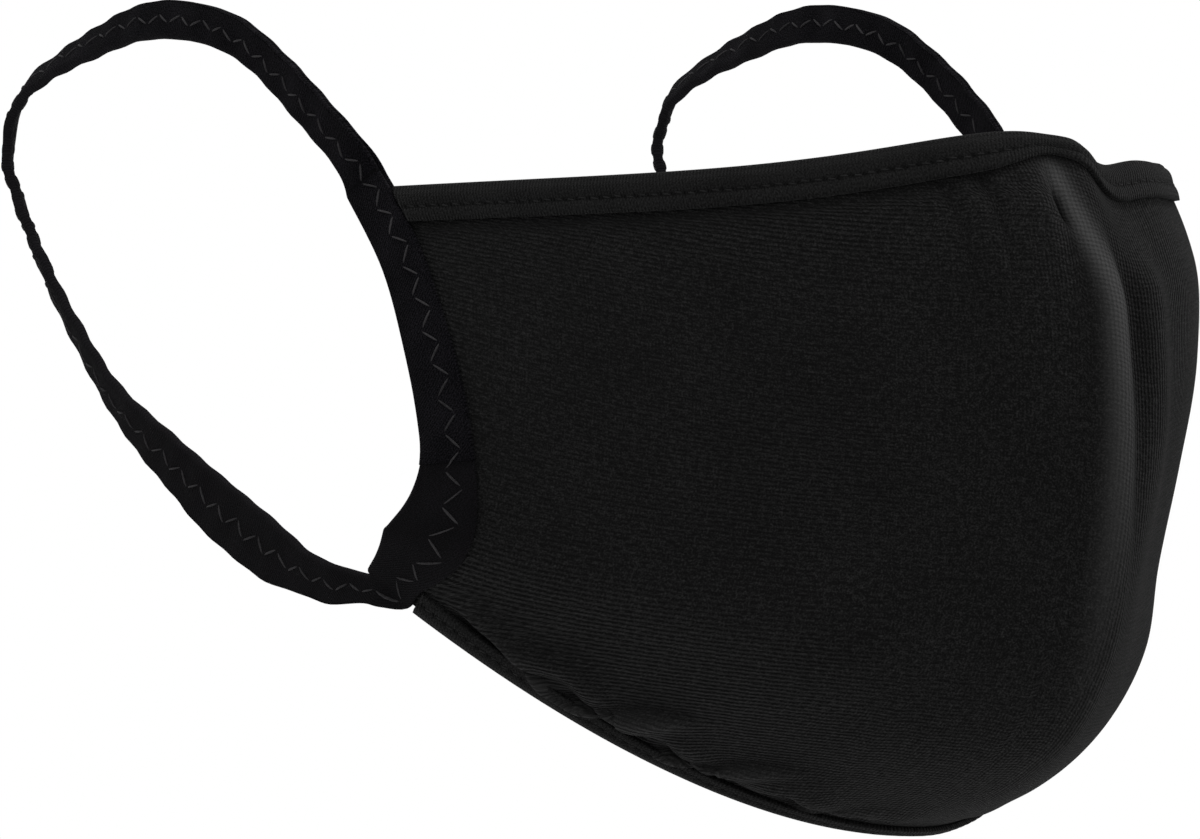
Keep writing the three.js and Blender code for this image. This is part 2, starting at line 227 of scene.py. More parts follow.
def foldShape(fold, across, down, kind):
    fadeIn, fadeOut = fades[kind]
    along = (down - fold["start"]) / (fold["end"] - fold["start"])
    window = smoothStep(along, 0, fadeIn) * (1 - smoothStep(along, fadeOut, 1))
    centre = fold["across"] + fold["lean"] * along - fold["hook"] * (1 - smoothStep(down, *hookFades))
    return window * bell(across, centre, fold["spread"])


def cheekShare(across):
    # The left cheek is drawn smoother than the right one, and the cloth lies flat where the tape holds it
    flat = 1 - smoothStep(np.abs(across), *chinPuff["tapeFades"])
    left = smoothStep(across, -chinPuff["cheekBlend"], chinPuff["cheekBlend"])
    return flat * (1 - (1 - chinPuff["leftCheek"]) * left)


def puffShare(across):
    share = np.ones_like(across)
    for pinch in chinPuff["pinches"]:
        share = share - bell(np.abs(across), pinch, chinPuff["pinchWide"])
    return np.clip(share, 0, 1) * cheekShare(across) * smoothStep(np.abs(across), *chinPuff["centreFades"])


def panelCloth(across, down):
    points = foldedCloth(across, down)
    side = np.abs(across)
    lift = np.zeros_like(across)
    for fold in fineFolds:
        lift = lift + fold["out"] * foldShape(fold, across, down, "fineFold")
    for ridge in chinRidges:
        lift = lift + ridge["out"] * cheekShare(across) * foldShape(ridge, side, down, "chinRidge")
    climb = aboveChin(across, down)
    puff = puffShare(across)
    tall = np.where(climb > chinPuff["above"], chinPuff["upper"], chinPuff["lower"])
    hang = smoothStep(side, 0, chinPuff["outFull"]) * bell(climb, chinPuff["above"], tall)
    lift = lift + chinPuff["out"] * puff * hang
    lift = lift - chinPuff["tuck"] * puff * bell(climb, chinPuff["tuckAbove"], chinPuff["tuckTall"])
    sag = smoothStep(side, *chinPuff["sagFades"]) * bell(climb, chinPuff["sagAbove"], chinPuff["sagTall"])
    fall = unit(chinward(foldedCloth, across, down, nearStep)) * (chinPuff["sag"] * puff * sag)[..., None]
    return points + outward(foldedCloth, across, down) * lift[..., None] + fall


# The nose seat touches the inside of the nose hem on the centre line
centre = np.array([0.0])
seat = foldedCloth(centre, centre)[0] - outward(foldedCloth, centre, centre)[0] * mask["seatOffset"]
seat = seat * (0, 1, 1)


def toFrame(points):
    return (points - seat) / 1000


def sharePerMm(across, edgeDown):
    # How much of the way down one millimetre is, beside an edge of the cloth
    span = 0.05
    near = plainCloth(across, np.full_like(across, abs(edgeDown - span)))
    edge = plainCloth(across, np.full_like(across, edgeDown))
    return span / np.linalg.norm(edge - near, axis=-1)


def emptySelection():
    if bpy.context.object and bpy.context.object.mode != "OBJECT":
        bpy.ops.object.mode_set(mode="OBJECT")
    bpy.ops.object.select_all(action="DESELECT")


def selectOnly(piece):
    emptySelection()
    piece.select_set(True)
    bpy.context.view_layer.objects.active = piece


def nameNew(name):
    piece = bpy.context.object
    piece.name = name
    piece.data.name = name
    return piece


def vertexSpots(piece):
    spots = np.zeros(len(piece.data.vertices) * 3)
    piece.data.vertices.foreach_get("co", spots)
    return spots.reshape(-1, 3)


def applyModifier(piece, name, kind, **settings):
    selectOnly(piece)
    modifier = piece.modifiers.new(name, kind)
    for key, value in settings.items():
        setattr(modifier, key, value)
    bpy.ops.object.modifier_apply(modifier=name)


def shapeMesh(piece, points, uv=None):
    # Moves every vertex to its place; uv holds one pair for each vertex, in mm along the cloth
    piece.data.vertices.foreach_set("co", toFrame(points).reshape(-1))
    if uv is not None:
        layer = piece.data.uv_layers.active or piece.data.uv_layers.new(name="clothUv")
        layer.name = "clothUv"
        corners = np.zeros(len(piece.data.loops), dtype=np.int32)
        piece.data.loops.foreach_get("vertex_index", corners)
        layer.data.foreach_set("uv", uv[corners].reshape(-1))
    piece.data.update()


def paint(piece, name, values):
    piece.data.attributes.new(name, "FLOAT", "POINT").data.foreach_set("value", values.reshape(-1))


def clothGrid(name, columns, rows):
    emptySelection()
    bpy.ops.mesh.primitive_grid_add(x_subdivisions=columns, y_subdivisions=rows, size=2)
    piece = nameNew(name)
    spots = vertexSpots(piece)
    return piece, spots[:, 0], (1 - spots[:, 1]) / 2


def thicken(piece, thickness):
    applyModifier(piece, "wall", "SOLIDIFY", thickness=thickness / 1000, offset=0.0)


def faceOut(piece):
    selectOnly(piece)
    bpy.ops.object.mode_set(mode="EDIT")
    bpy.ops.mesh.select_all(action="SELECT")
    bpy.ops.mesh.normals_make_consistent(inside=False)
    bpy.ops.object.mode_set(mode="OBJECT")
    bpy.ops.object.shade_smooth()


def lengthsAlong(points):
    steps = np.linalg.norm(np.diff(points, axis=0), axis=-1)
    return np.concatenate([np.zeros((1,) + steps.shape[1:]), np.cumsum(steps, axis=0)])


def acrossPlaces(x):
    # Columns crowd toward the middle and toward both side edges
    crowd = mask["columnCrowd"]
    return np.sin(x * (1 - crowd + crowd * x * x) * mask["columnArc"]) / math.sin(mask["columnArc"])


# Cloth panel
def makePanel():
    piece, x, share = clothGrid("clothPanel", mask["columns"], mask["rows"])
    across = acrossPlaces(x)
    down = share - mask["rowCrowd"] * np.sin(2 * math.pi * share)
    points = panelCloth(across, down)
    # The knit follows lengths on the cloth, counted from the nose edge and from the centre line
    width = mask["columns"] + 1
    turned = share[0] > share[-1]
    net = points.reshape(-1, width, 3)
    net = net[::-1] if turned else net
    acrossLength = lengthsAlong(net.transpose(1, 0, 2)).T
    acrossLength -= acrossLength[:, [width // 2]]
    level = -lengthsAlong(net)
    level -= mask["grainTilt"] * np.sqrt(acrossLength**2 + mask["grainRound"] ** 2)
    uv = np.stack([acrossLength, level], -1)
    uv = uv[::-1] if turned else uv
    shapeMesh(piece, points, uv.reshape(-1, 2))
    # Painted highlight along the ridge crest, stronger near the top, and along the chin ridges
    top = 1 - smoothStep(down, *paintedLight["topFades"])
    crestHighlight = foldShape(highlightOnRidge, across, down, "highlight") * (1 + paintedLight["topHighlight"] * top)
    for ridge in chinRidges:
        crestHighlight = crestHighlight + paintedLight["chinHighlight"] * foldShape(ridge, np.abs(across), down, "chinRidge")
    # Painted shade in the dart's pit, in the crease under each chin puff and in the groove beside the ridge
    crease = bell(aboveChin(across, down), paintedLight["shadeAbove"], paintedLight["shadeTall"])
    pitShade = foldShape(dartPit, across, down, "dartPit") + paintedLight["puffShade"] * crease * puffShare(across)
    pitShade = pitShade + paintedLight["grooveShade"] * foldShape(shadeInGroove, across, down, "shade")
    paint(piece, "crestHighlight", crestHighlight)
    paint(piece, "pitShade", np.clip(pitShade, 0, 1))
    thicken(piece, mask["cloth"])
    faceOut(piece)
    return piece


# Hems: a strip folded over the panel's edge, puffed either side of one row of stitches
bothHems = {
    "ply": 0.8,
    "clear": 0.12,
    "turnPlaces": 9,
    "faceRows": 14,
    "lowerPuff": 0.6,
    "backPuff": 0.4,
    "pucker": 0.12,
    "puckerTall": 0.9,
    "wander": 0.25,
    "wanderLengths": (2.9, 7.3),
    "pitch": 2.2,
    "stitch": 1.5,
    "seamShadeTall": 0.35,
    "bareEnd": 1.0,
    "backShift": 0.25,
    "stray": 0.12,
    "slant": 0.1,
    "stand": 0.35,
    "dive": 0.3,
}
noseHem = dict(bothHems, edge=0, height=6.0, columns=420, seam=3.7, puff=0.4, thread=0.17,
               narrow=0.42, narrowAt=-0.1, narrowWide=0.1)
chinHem = dict(bothHems, edge=1, height=3.6, columns=340, seam=2.2, puff=0.25, thread=0.16,
               narrow=0.0, narrowAt=0.0, narrowWide=1.0)


def hemRest(hem):
    return mask["cloth"] / 2 + hem["clear"] + hem["ply"] / 2


def hemPoint(hem, across, depth, out):
    # A place on the strip: depth below the panel's edge, out from the middle of the cloth
    sign = 1 if hem["edge"] == 0 else -1
    edge = np.full_like(across, float(hem["edge"]))
    reach = np.maximum(depth, 0) * (1 - hem["narrow"] * bell(across, hem["narrowAt"], hem["narrowWide"]))
    down = edge + sign * reach * sharePerMm(across, hem["edge"])
    inner = foldedCloth(across, edge + sign * wideStep) - foldedCloth(across, edge)
    points = foldedCloth(across, down) + outward(foldedCloth, across, down) * out[..., None]
    return points + unit(inner) * np.minimum(depth, 0)[..., None]


def hemPuff(hem, depth, run):
    upper = np.sin(math.pi * np.clip(depth / hem["seam"], 0, 1))
    lower = np.sin(math.pi * np.clip((depth - hem["seam"]) / (hem["height"] - hem["seam"]), 0, 1))
    beat = 0.5 - 0.5 * np.cos(2 * math.pi * run / hem["pitch"])
    pucker = hem["pucker"] * beat * bell(depth, hem["seam"], hem["puckerTall"])
    short, long = hem["wanderLengths"]
    wander = 1 + hem["wander"] * np.sin(run / short) * np.sin(run / long + 1)
    return hem["puff"] * wander * (upper + hem["lowerPuff"] * lower) + pucker


def hemRun(hem, endAcross):
    places = acrossPlaces(np.linspace(-1, 1, 801)) * endAcross
    line = foldedCloth(places, np.full_like(places, float(hem["edge"])))
    return places, lengthsAlong(line)


def makeHem(name, hem, endAcross):
    rest = hemRest(hem)
    turn = np.radians(np.linspace(-90, 90, hem["turnPlaces"]))
    flat = np.linspace(0, 1, hem["faceRows"] + 1)[1:]
    profile = [(hem["height"] * share, -1.0, 0.0) for share in flat[::-1]]
    profile += [(-rest * math.cos(angle), math.sin(angle), 0.0) for angle in turn]
    profile += [(hem["height"] * share, 1.0, 1.0) for share in flat]
    profile = np.array(profile)
    piece, x, share = clothGrid(name, hem["columns"], len(profile) - 1)
    across = endAcross * acrossPlaces(x)
    row = np.rint(share * (len(profile) - 1)).astype(int)
    depth, out, outer = profile[row].T
    run = np.interp(across, *hemRun(hem, endAcross))
    puff = hemPuff(hem, depth, run) * (hem["backPuff"] + (1 - hem["backPuff"]) * outer)
    points = hemPoint(hem, across, depth, out * (rest + puff))
    girth = lengthsAlong(profile[:, :2] * (1, rest))
    shapeMesh(piece, points, np.stack([run, girth[row]], -1))
    # Painted shade along the row of stitches
    paint(piece, "seam", bell(depth, hem["seam"], hem["seamShadeTall"]))
    thicken(piece, hem["ply"])
    faceOut(piece)
    return piece


# Ear loops: one ring of folded tape each, gripping the panel's side edge and then running free.
# web is how far the tape stands behind the edge on its lower half.
tape = {
    "width": 9.5,
    "ply": 0.85,
    "bend": 0.85,
    "clear": 0.12,
    "cover": 8.7,
    "noseCornerCover": 6.6,
    "chinCornerCover": 1.0,
    "coverMiddle": 0.45,
    "coverFades": (0.08, 0.48),
    "hemGap": 0.1,
    "web": 7.6,
    "webGrows": (0.38, 0.68),
    "cornerWeb": 0.02,
    "cornerWebGrows": (0.85, 1),
    "nip": 1.15,
    "nipStation": 3.4,
    "nipWide": 2.8,
    "reach": 109.5,
    "rise": 20.1,
    "fall": 74.7,
    "spread": 71.5,
    "gripSteps": 72,
    "freeSteps": 182,
    "seamDown": 0.435,
    "seamStep": 0.5,
    "seamRise": (0.14, 0.02),
    "freeSlot": (0.06, 0.9),
    "ripple": 0.16,
    "rippleLength": 7.3,
    "rippleGrows": (4, 20),
    "lowerFades": (130, 170),
    "joinWide": 0.8,
}

# Free run of a loop from the chin corner round the ear to the nose corner
loopRoute = [
    dict(back=0.135, up=-0.99, apart=0.96, turn=5, wide=0.52),
    dict(back=0.243, up=-0.968, apart=0.985, turn=13, wide=0.8),
    dict(back=0.352, up=-0.905, apart=1, turn=0, wide=1.08),
    dict(back=0.467, up=-0.822, apart=1, turn=-2, wide=1.06),
    dict(back=0.588, up=-0.715, apart=1, turn=10, wide=0.95),
    dict(back=0.719, up=-0.588, apart=1, turn=29, wide=0.9),
    dict(back=0.822, up=-0.433, apart=1, turn=36, wide=0.88),
    dict(back=0.892, up=-0.309, apart=1, turn=39, wide=0.86),
    dict(back=0.958, up=-0.165, apart=1, turn=43, wide=0.85),
    dict(back=0.997, up=-0.036, apart=1, turn=40, wide=0.85),
    dict(back=0.963, up=0.336, apart=1, turn=46, wide=0.85),
    dict(back=0.877, up=0.604, apart=1, turn=49, wide=0.82),
    dict(back=0.764, up=0.819, apart=1, turn=38, wide=0.78),
    dict(back=0.637, up=0.982, apart=1, turn=20, wide=0.7),
    dict(back=0.494, up=0.944, apart=1, turn=5, wide=0.68),
    dict(back=0.379, up=0.734, apart=1, turn=-4, wide=0.72),
    dict(back=0.255, up=0.296, apart=1, turn=-6, wide=0.8),
    dict(back=0.168, up=-0.026, apart=0.985, turn=-5, wide=0.84),
]


def coverAt(down):
    # How far the tape reaches over the cloth, less toward both corners
    corner = np.where(down < 0.5, tape["noseCornerCover"], tape["chinCornerCover"])
    toCorner = smoothStep(np.abs(down - tape["coverMiddle"]), *tape["coverFades"])
    return tape["cover"] + (corner - tape["cover"]) * toCorner


def sideFrame(side, down):
    across = np.full_like(down, float(side))
    edge = foldedCloth(across, down)
    out = outward(foldedCloth, across * (1 - 2 * wideStep), down)
    inward = unit(np.cross(unit(chinward(foldedCloth, across, down, wideStep)), out)) * side
    return edge, inward, out


def freeAcross(side, down):
    # Where the cloth comes out from under the tape
    edge, inward, _ = sideFrame(side, np.array([down]))
    reach = coverAt(np.array([down])) + tape["hemGap"]
    places = np.linspace(0.8, 1, 401)
    cloth = foldedCloth(side * places, np.full_like(places, down))
    covered = (cloth - edge) @ inward[0]
    return places[covered >= reach].max()


def gripStations(side):
    # Sections of the tape along the panel's side edge, from the nose corner to the chin corner
    seam = tape["seamDown"]
    down = np.sort(np.concatenate([np.linspace(0, 1, tape["gripSteps"]), [seam - 0.001, seam + 0.001]]))
    edge, inward, out = sideFrame(side, down)
    corner = tape["cornerWeb"] * smoothStep(down, *tape["cornerWebGrows"])
    web = smoothStep(down, *tape["webGrows"]) + corner
    behind = tape["clear"] + tape["ply"] + tape["web"] * web
    cover = coverAt(down)
    slotHalf = mask["cloth"] / 2 + tape["clear"]
    riseFrom, riseTo = tape["seamRise"]
    lap = smoothStep(down, seam - riseFrom, seam - riseTo) * (down < seam)
    raised = tape["ply"] + tape["seamStep"] * lap
    slotDepth = cover + tape["clear"]
    sizes = np.stack([behind + cover, raised, slotHalf + raised, 0 * down + slotHalf, slotDepth], -1)
    return edge - inward * behind[:, None], inward, out, sizes


def routeStations(side):
    # Sections of the free tape, from the rows of loopRoute
    heights = [row["up"] * (tape["rise"] if row["up"] > 0 else tape["fall"]) for row in loopRoute]
    spots = np.array([[side * tape["spread"] * row["apart"], tape["reach"] * row["back"], high]
                      for row, high in zip(loopRoute, heights)])
    before = np.concatenate([spots[:1], spots[:-1]])
    after = np.concatenate([spots[1:], spots[-1:]])
    travel = unit((after - before) * (0, 1, 1))
    flat = np.cross(np.array([-1.0, 0, 0]), travel)
    turn = -np.radians([row["turn"] for row in loopRoute])[:, None]
    inward = flat * np.cos(turn) + np.cross(travel, flat) * np.sin(turn)
    out = np.cross(travel, inward) * -side
    wide = np.array([tape["width"] * row["wide"] for row in loopRoute])
    slotHalf, slotDepth = tape["freeSlot"]
    same = np.tile([tape["ply"], tape["ply"], slotHalf, slotDepth], (len(wide), 1))
    sizes = np.concatenate([wide[:, None], same], -1)
    return spots - inward * wide[:, None] / 2, inward, out, sizes


def loopStations(side):
    # The grip, then the free run eased through its rows and two sections of the grip at each end
    grip = gripStations(side)
    route = routeStations(side)
    keys = [np.concatenate([held[-3::2], free, held[:3:2]]) for held, free in zip(grip, route)]
    spans = len(keys[0]) - 3
    spot = 1 + spans * np.arange(1, tape["freeSteps"]) / tape["freeSteps"]
    row = np.minimum(np.floor(spot).astype(int), len(keys[0]) - 3)
    share = (spot - row)[:, None]
    between = [softCurve(key[row - 1], key[row], key[row + 1], key[row + 2], share) for key in keys[:3]]
    ease = share * share * (3 - 2 * share)
    between.append(keys[3][row] * (1 - ease) + keys[3][row + 1] * ease)
    start, inward, out, sizes = [np.concatenate(parts) for parts in zip(grip, between)]
    inward = unit(inward)
    out = unit(out - inward * np.sum(out * inward, -1, keepdims=True))
    free = np.arange(len(start)) - len(grip[0])
    last = len(between[0])
    rippleFrom, rippleTo = tape["rippleGrows"]
    ripple = smoothStep(free, rippleFrom, rippleTo) * (1 - smoothStep(free, last - rippleTo, last))
    wave = tape["ripple"] * ripple * np.sin(2 * math.pi * lengthsAlong(start) / tape["rippleLength"])
    # The tape is nipped in where it turns the chin corner
    sizes[:, 0] -= tape["nip"] * bell(free, tape["nipStation"], tape["nipWide"])
    return start + out * wave[:, None], inward, out, sizes


def tapeProfile(sizes):
    # Points round the folded tape: fold on the ear side, two plies with a slot between them on the other
    wide, foldHalf, openHalf, slotHalf, slotDepth = sizes.T
    body = wide - slotDepth
    bend = np.minimum(tape["bend"], body * 0.45)
    top = [(0 * wide, foldHalf * 0.35), (bend * 0.3, foldHalf * 0.8), (bend, foldHalf)]
    top += [(body * 0.6, foldHalf), (body * 0.9 + 0.1 * bend, openHalf)]
    top += [(body + (wide - body) * share, openHalf) for share in (0.25, 0.5, 0.75)]
    top += [(wide - 0.25, openHalf), (wide, openHalf - 0.3), (wide, slotHalf), (body, slotHalf)]
    bottom = [(across, -out) for across, out in reversed(top)]
    return np.stack([np.stack([across, out], -1) for across, out in top + bottom], 1)


def makeLoop(name, stations):
    start, inward, out, sizes = stations
    profile = tapeProfile(sizes)
    steps, corners = profile.shape[:2]
    emptySelection()
    bpy.ops.mesh.primitive_torus_add(major_segments=steps, minor_segments=corners)
    piece = nameNew(name)
    points = start[:, None] + inward[:, None] * profile[..., :1] + out[:, None] * profile[..., 1:]
    run = lengthsAlong(start + inward * sizes[:, :1] / 2)
    uv = np.stack([np.repeat(run[:, None], corners, 1), profile[..., 0]], -1)
    shapeMesh(piece, points.reshape(-1, 3), uv.reshape(-1, 2))
    number = np.arange(steps)
    seamStation = tape["gripSteps"] * tape["seamDown"]
    lower = (number > seamStation) * (1 - smoothStep(number, *tape["lowerFades"]))
    paint(piece, "lower", np.repeat(lower[:, None], corners, 1))
    # Painted shade: a dark line under the lap at the seam
    lapShade = bell(number, seamStation + 0.5, tape["joinWide"])
    paint(piece, "lapShade", np.repeat(lapShade[:, None], corners, 1))
    faceOut(piece)
    return piece


# Stitches: one rounded stitch, repeated and laid along its seam; both its ends dive into the cloth
def stitchRow(name, count):
    emptySelection()
    bpy.ops.mesh.primitive_uv_sphere_add(segments=6, ring_count=6, radius=1)
    piece = nameNew(name)
    applyModifier(piece, "row", "ARRAY", count=count, use_relative_offset=False)
    sideways, rise, along = vertexSpots(piece).reshape(count, -1, 3).transpose(2, 0, 1)
    number = np.repeat(np.arange(count)[:, None], along.shape[1], 1)
    return piece, number, along, sideways, rise


def makeHemStitches(name, hem, endAcross):
    places, lengths = hemRun(hem, endAcross)
    count = int((lengths[-1] - 2 * hem["bareEnd"]) / hem["pitch"])
    piece, number, along, sideways, rise = stitchRow(name, 2 * count)
    face = np.where(number < count, 1.0, -1.0)
    run = hem["bareEnd"] + (number % count + 0.5 + hem["backShift"] * (face < 0)) * hem["pitch"]
    run = run + along * hem["stitch"] / 2
    across = np.interp(run, lengths, places)
    stray = hem["stray"] * np.sin(number * 2.4) + hem["slant"] * along
    depth = hem["seam"] + sideways * hem["thread"] + stray
    lift = hemPuff(hem, depth, run) * np.where(face > 0, 1, hem["backPuff"])
    height = hemRest(hem) + hem["ply"] / 2 + lift
    height = height + hem["thread"] * (hem["stand"] + rise) - hem["dive"] * along**4
    shapeMesh(piece, hemPoint(hem, across, depth, face * height).reshape(-1, 3))
    faceOut(piece)
    return piece


# Zigzag of the tape, its low and high side in shares of the tape's width on the free run and on the grip
zigzag = {
    "leg": 2.9,
    "thread": 0.19,
    "low": (0.36, 0.5),
    "high": (0.62, 0.82),
    "gripFades": (14, 12),
    "legAlong": 0.46,
    "legAcross": 0.88,
    "stray": 0.15,
    "stand": 0.45,
    "dive": 0.3,
}


def makeZigzag(name, stations):
    # Legs of thread that cross the tape one way and back, on both of its faces
    start, inward, out, sizes = [np.concatenate([part, part[:1]]) for part in stations]
    run = lengthsAlong(start + inward * sizes[:, :1] / 2)
    count = 2 * int(run[-1] / zigzag["leg"] / 2)
    leg = run[-1] / count
    piece, number, along, sideways, rise = stitchRow(name, 2 * count)
    face = np.where(number < count, 1.0, -1.0)
    step = number % count
    station = np.arange(len(run))
    fadeOut, fadeIn = zigzag["gripFades"]
    gripShare = 1 - smoothStep(station, tape["gripSteps"], tape["gripSteps"] + fadeOut)
    gripShare = np.maximum(gripShare, smoothStep(station, len(run) - fadeIn, len(run) - 1))
    at = (step + 0.5 + zigzag["legAlong"] * along) * leg
    low, high = [np.interp(at, run, sizes[:, 0] * (free + (grip - free) * gripShare))
                 for free, grip in (zigzag["low"], zigzag["high"])]
    way = np.where(step % 2 == 0, 1.0, -1.0)
    turn = zigzag["legAcross"] * way * along + zigzag["stray"] * np.sin(step * 1.7)
    slope = way * (high - low) / leg
    lean = np.sqrt(1 + slope**2)
    at = (at - sideways * zigzag["thread"] * slope / lean) % run[-1]
    place = (low + high) / 2 + turn * (high - low) / 2 + sideways * zigzag["thread"] / lean
    wide, foldHalf, openHalf, _, slotDepth = [np.interp(at, run, column) for column in sizes.T]
    body = wide - slotDepth
    half = foldHalf + (openHalf - foldHalf) * np.clip((place - body * 0.6) / (body * 0.3 + 0.1), 0, 1)
    height = face * (half + zigzag["thread"] * (zigzag["stand"] + rise) - zigzag["dive"] * along**4)
    spot, over, off = [
        np.stack([np.interp(at, run, axis) for axis in part.T], -1) for part in (start, inward, out)]
    shapeMesh(piece, (spot + over * place[..., None] + off * height[..., None]).reshape(-1, 3))
    faceOut(piece)
    return piece


# Materials: a socket of a node tree in plain arithmetic
class Line:
    def __init__(self, finish, socket):
        self.finish = finish
        self.socket = socket

    def maths(self, operation, *values):
        return self.finish.node("ShaderNodeMath", {"operation": operation}, dict(enumerate(values)))

    def __add__(self, other):
        return self.maths("ADD", self, other)

    def __radd__(self, other):
        return self.maths("ADD", other, self)

    def __sub__(self, other):
        return self.maths("SUBTRACT", self, other)

    def __rsub__(self, other):
        return self.maths("SUBTRACT", other, self)

    def __mul__(self, other):
        return self.maths("MULTIPLY", self, other)

    def __rmul__(self, other):
        return self.maths("MULTIPLY", other, self)

    def wave(self, period):
        return self.maths("SINE", self * (2 * math.pi / period))

    def clamped(self, low, high):
        return self.finish.node("ShaderNodeMapRange", {"clamp": True}, {0: self, 1: low, 2: high})


class Finish:
    def __init__(self, name):
        self.material = bpy.data.materials.new(name)
        self.material.use_nodes = True
        self.nodes = self.material.node_tree.nodes
        self.links = self.material.node_tree.links
        self.shader = self.nodes["Principled BSDF"]

    def node(self, kind, settings, values, output=0):
        made = self.nodes.new(kind)
        for key, value in settings.items():
            setattr(made, key, value)
        for key, value in values.items():
            self.plug(made.inputs[key], value)
        return Line(self, made.outputs[output])

    def plug(self, socket, value):
        if isinstance(value, Line):
            self.links.new(value.socket, socket)
        else:
            socket.default_value = value

    def clothLines(self):
        uv = self.node("ShaderNodeUVMap", {"uv_map": "clothUv"}, {})
        u = self.node("ShaderNodeSeparateXYZ", {}, {0: uv})
        return uv, u, Line(self, u.socket.node.outputs[1])

    def attribute(self, name):
        return self.node("ShaderNodeAttribute", {"attribute_name": name}, {}, "Fac")

    def noise(self, where, scale, detail=2.0, rough=0.5):
        values = {"Vector": where, "Scale": scale, "Detail": detail, "Roughness": rough}
        return self.node("ShaderNodeTexNoise", {}, values)

    def blend(self, share, first, second):
        return self.node("ShaderNodeMix", {"data_type": "RGBA"}, {0: share, 6: first, 7: second}, 2)

    def feed(self, values):
        for name, value in values.items():
            self.plug(self.shader.inputs[name], value)


# Cloth looks: colours, then noise scales and periods in mm, then how much each one shows
bothJerseys = {"wale": 0.66, "bump": 0.00014, "sheen": 0.045, "sheenRoughness": 0.42, "specular": 0.02,
               "roughness": 0.9}
jersey = dict(
    bothJerseys,
    base=(0.0062, 0.0062, 0.0062, 1),
    lint=(0.034, 0.034, 0.034, 1),
    paler=(0.064, 0.064, 0.064, 1),
    rib=0.8,
    wobbleScale=0.3,
    speckScale=3.2,
    fuzzScale=0.9,
    patchScale=0.07,
    wobble=0.5,
    speck=3.1,
    fuzz=1.7,
    patch=0.3,
    ribTone=0.075,
    ground=0.11,
    cheek=(300.0, 2600.0),
)
hemJersey = dict(
    bothJerseys,
    base=(0.0056, 0.0056, 0.0056, 1),
    lint=(0.027, 0.027, 0.027, 1),
    rib=0.6,
    wobbleScale=0.35,
    speckScale=3.4,
    patchScale=0.12,
    wobble=0.4,
    speck=2.6,
    patch=0.4,
    ribTone=0.06,
    ground=0.24,
)
loopTape = dict(
    base=(0.0022, 0.0021, 0.0027, 1),
    lint=(0.02, 0.0185, 0.0225, 1),
    paler=(0.018, 0.017, 0.019, 1),
    low=(0.0085, 0.008, 0.0085, 1),
    rib=0.62,
    wale=0.62,
    wobbleScale=0.4,
    speckScale=3.6,
    patchScale=0.12,
    wobble=0.35,
    speck=2.8,
    patch=0.8,
    ribTone=0.1,
    ground=0.2,
    bump=0.00012,
    sheen=0.012,
    sheenRoughness=0.45,
    specular=0.02,
    roughness=0.88,
)
bothThreads = {"fibreScale": 2600.0, "patchScale": 90.0, "bump": 0.00006, "specular": 0.1}
loopThread = dict(bothThreads, base=(0.01, 0.0098, 0.011, 1), lint=(0.046, 0.0435, 0.046, 1),
                  roughness=0.7, sheen=0.04)
hemThread = dict(bothThreads, base=(0.004, 0.004, 0.004, 1), lint=(0.017, 0.017, 0.017, 1),
                 roughness=0.8, sheen=0.03)
creaseShade = (0.0008, 0.0008, 0.0008, 1)
joinShade = (0.0006, 0.0006, 0.0007, 1)


def lintedCloth(finish, look, uv, ribs, ground):
    # Specks of lint, ribs and slow patches over the ground colour
    speck = finish.noise(uv, look["speckScale"], 2.0, 0.75)
    patch = finish.noise(uv, look["patchScale"], 3.0)
    lint = (speck - 0.5) * look["speck"] + ribs * look["ribTone"] + (patch - 0.5) * look["patch"] + ground
    return speck, finish.blend(lint.clamped(0.0, 1.0), look["base"], look["lint"])


def finishCloth(finish, look, colour, height):
    bump = finish.node("ShaderNodeBump", {}, {"Strength": 0.9, "Distance": look["bump"], "Height": height})
    finish.feed({"Base Color": colour, "Normal": bump, "Roughness": look["roughness"],
                 "Sheen Weight": look["sheen"], "Sheen Roughness": look["sheenRoughness"],
                 "Specular IOR Level": look["specular"]})
    return finish.material


def panelFinish():
    finish = Finish("blackJersey")
    uv, u, v = finish.clothLines()
    wobble = finish.noise(uv, jersey["wobbleScale"]) * jersey["wobble"]
    # The ribs show on the cheeks, and the loops between them near the centre line
    cheek = (u * u).clamped(*jersey["cheek"])
    ribs = (v + wobble).wave(jersey["rib"]) * (0.5 + 0.8 * cheek)
    knit = ribs + (u + wobble).wave(jersey["wale"]) * (0.55 - 0.35 * cheek)
    fuzz = finish.noise(uv, jersey["fuzzScale"], 4.0, 0.7)
    speck, cloth = lintedCloth(finish, jersey, uv, knit, (fuzz - 0.5) * jersey["fuzz"] + jersey["ground"])
    # Painted highlight: the cloth is lightened toward a paler tone along the ridge crests
    paler = finish.blend(finish.attribute("crestHighlight") * (0.25 + 0.7 * speck), cloth, jersey["paler"])
    # Painted shade: the pits, the groove and the creases under the chin puffs are darkened
    colour = finish.blend(finish.attribute("pitShade") * 0.9, paler, creaseShade)
    return finishCloth(finish, jersey, colour, knit + speck * 1.6 + fuzz * 0.6)


def hemFinish():
    finish = Finish("hemJersey")
    uv, u, v = finish.clothLines()
    wobble = finish.noise(uv, hemJersey["wobbleScale"]) * hemJersey["wobble"]
    loops = 0.8 + 0.4 * (v + wobble).wave(hemJersey["wale"])
    ribs = (u + v * 0.25 + wobble).wave(hemJersey["rib"]) * loops
    speck, cloth = lintedCloth(finish, hemJersey, uv, ribs, hemJersey["ground"])
    # Painted shade darkens the seam line, most at the needle holes between the stitches
    holeShade = ((u - 0.45).wave(bothHems["pitch"]) + 0.7).clamped(0.3, 1.5)
    colour = finish.blend(finish.attribute("seam") * (0.25 + 0.75 * holeShade), cloth, creaseShade)
    return finishCloth(finish, hemJersey, colour, ribs * 0.9 + speck * 1.6)


